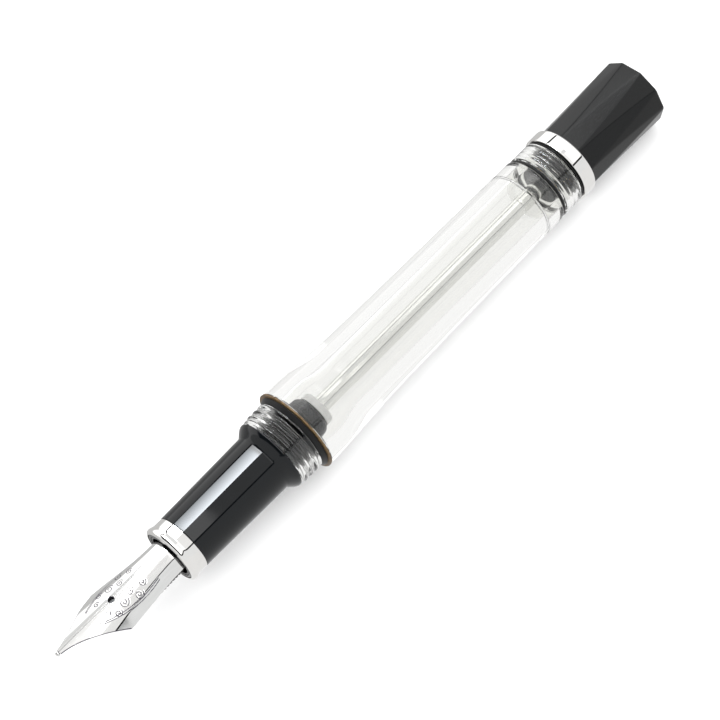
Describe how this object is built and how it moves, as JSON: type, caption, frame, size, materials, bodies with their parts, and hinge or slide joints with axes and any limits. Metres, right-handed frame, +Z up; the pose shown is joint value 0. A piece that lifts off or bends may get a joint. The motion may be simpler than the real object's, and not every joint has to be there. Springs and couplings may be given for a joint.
{
  "type": "fountain pen",
  "caption": "Clear-barrelled vacuum-filling fountain pen without its cap: steel nib, dark grip, plunger rod, faceted black filler knob.",
  "frame": {"origin": "centre of the pen's footprint, on the surface that it lies on: the bottom centre of its box", "axes": "+X along the pen's axis from the nib to the filler knob, +Z up through the nib's top side, the axis 7.36 mm above the origin"},
  "size_m": [0.13, 0.0148, 0.0147],
  "materials": {
    "clear_plastic": "polished, water clear",
    "black_rubber": "satin moulded rubber",
    "amber_plastic": "translucent amber",
    "pale_plastic": "smooth, off-white",
    "brass": "machined",
    "dark_grip": "polished near-black",
    "chrome": "bright plated",
    "black_plastic": "smooth black",
    "polished_steel": "polished stainless steel",
    "knob_plastic": "satin near-black with crisp facets"
  },
  "bodies": {
    "barrel": {"barrel": "clear_plastic", "cap_o_ring": "black_rubber", "cap_washer": "amber_plastic", "posting_o_ring": "black_rubber", "gland_body": "clear_plastic", "gland_seal": "clear_plastic", "gland_washer": "black_rubber", "gland_o_ring_front": "pale_plastic", "gland_o_ring_rear": "pale_plastic", "gland_nut": "pale_plastic", "knob_o_ring": "black_rubber"},
    "section_slide": {"section_o_ring": "black_rubber"},
    "section": {"grip_section": "dark_grip", "front_ring": "chrome", "nib_housing": "black_plastic", "nib": "polished_steel", "tipping_left": "polished_steel", "tipping_right": "polished_steel", "feed": "black_plastic"},
    "plunger": {"plunger_seal": "black_rubber", "seal_collar": "pale_plastic"},
    "filler_knob": {"plunger_rod": "polished_steel", "seal_nut": "polished_steel", "knob": "knob_plastic", "knob_ring": "chrome", "knob_bush": "brass", "rod_anchor": "brass"}
  },
  "joints": [
    {"name": "section_travel", "type": "slide", "parent": "barrel", "child": "section_slide", "axis": [-1, 0, 0], "range_m": [0, 0.005]},
    {"name": "section_turn", "type": "hinge", "parent": "section_slide", "child": "section", "pos_m": [-0.0204, 0, 0.00736], "axis": [-1, 0, 0], "range_deg": [0, 1805]},
    {"name": "plunger_pull", "type": "slide", "parent": "barrel", "child": "plunger", "axis": [1, 0, 0], "range_m": [0, 0.046]},
    {"name": "knob_turn", "type": "hinge", "parent": "plunger", "child": "filler_knob", "pos_m": [0.0478, 0, 0.00736], "axis": [1, 0, 0], "range_deg": [0, 1260]}
  ],
  "couplings": [
    {"joint": "section_turn", "follows": "section_travel", "rad_per_m": 6283.2}
  ]
}
